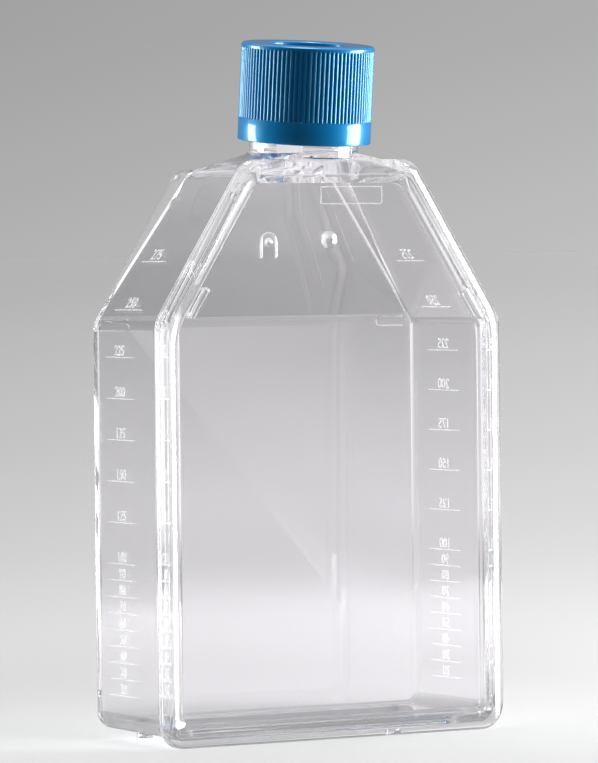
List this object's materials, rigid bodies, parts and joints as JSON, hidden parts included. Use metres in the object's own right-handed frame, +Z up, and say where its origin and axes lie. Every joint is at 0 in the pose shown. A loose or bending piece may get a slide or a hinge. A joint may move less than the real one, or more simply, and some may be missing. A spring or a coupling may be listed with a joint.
{
  "type": "cell culture flask",
  "caption": "Clear flat-bodied flask with sloped shoulders, moulded body and welded front plate, canted threaded neck and blue ribbed screw cap with a vent membrane.",
  "frame": {"origin": "centre of the base footprint of the whole part, cap included, at the level of the lower edge it stands on", "axes": "+Z up along the flask towards the cap, front plate faces -Y, growth floor faces +Y, +X to the right seen from the front"},
  "size_m": [0.085, 0.039, 0.1501],
  "materials": {
    "clear_body": "clear polished",
    "clear_cover": "clear polished",
    "blue_cap": "smooth moulded",
    "white_membrane": "matt"
  },
  "bodies": {
    "flask": {"flask_body": "clear_body", "cover_plate": "clear_cover"},
    "vent": {"vent_membrane": "white_membrane"},
    "cap": {"cap_shell": "blue_cap"}
  },
  "joints": [
    {"name": "cap_rise", "type": "slide", "parent": "flask", "child": "vent", "axis": [0, -0.108, 0.9942], "range_m": [0, 0.021]},
    {"name": "cap_turn", "type": "hinge", "parent": "vent", "child": "cap", "pos_m": [0, -0.00267, 0.1238], "axis": [0, -0.108, 0.9942], "range_deg": [0, 1890]}
  ],
  "couplings": [
    {"joint": "cap_turn", "follows": "cap_rise", "rad_per_m": 1570.8}
  ]
}
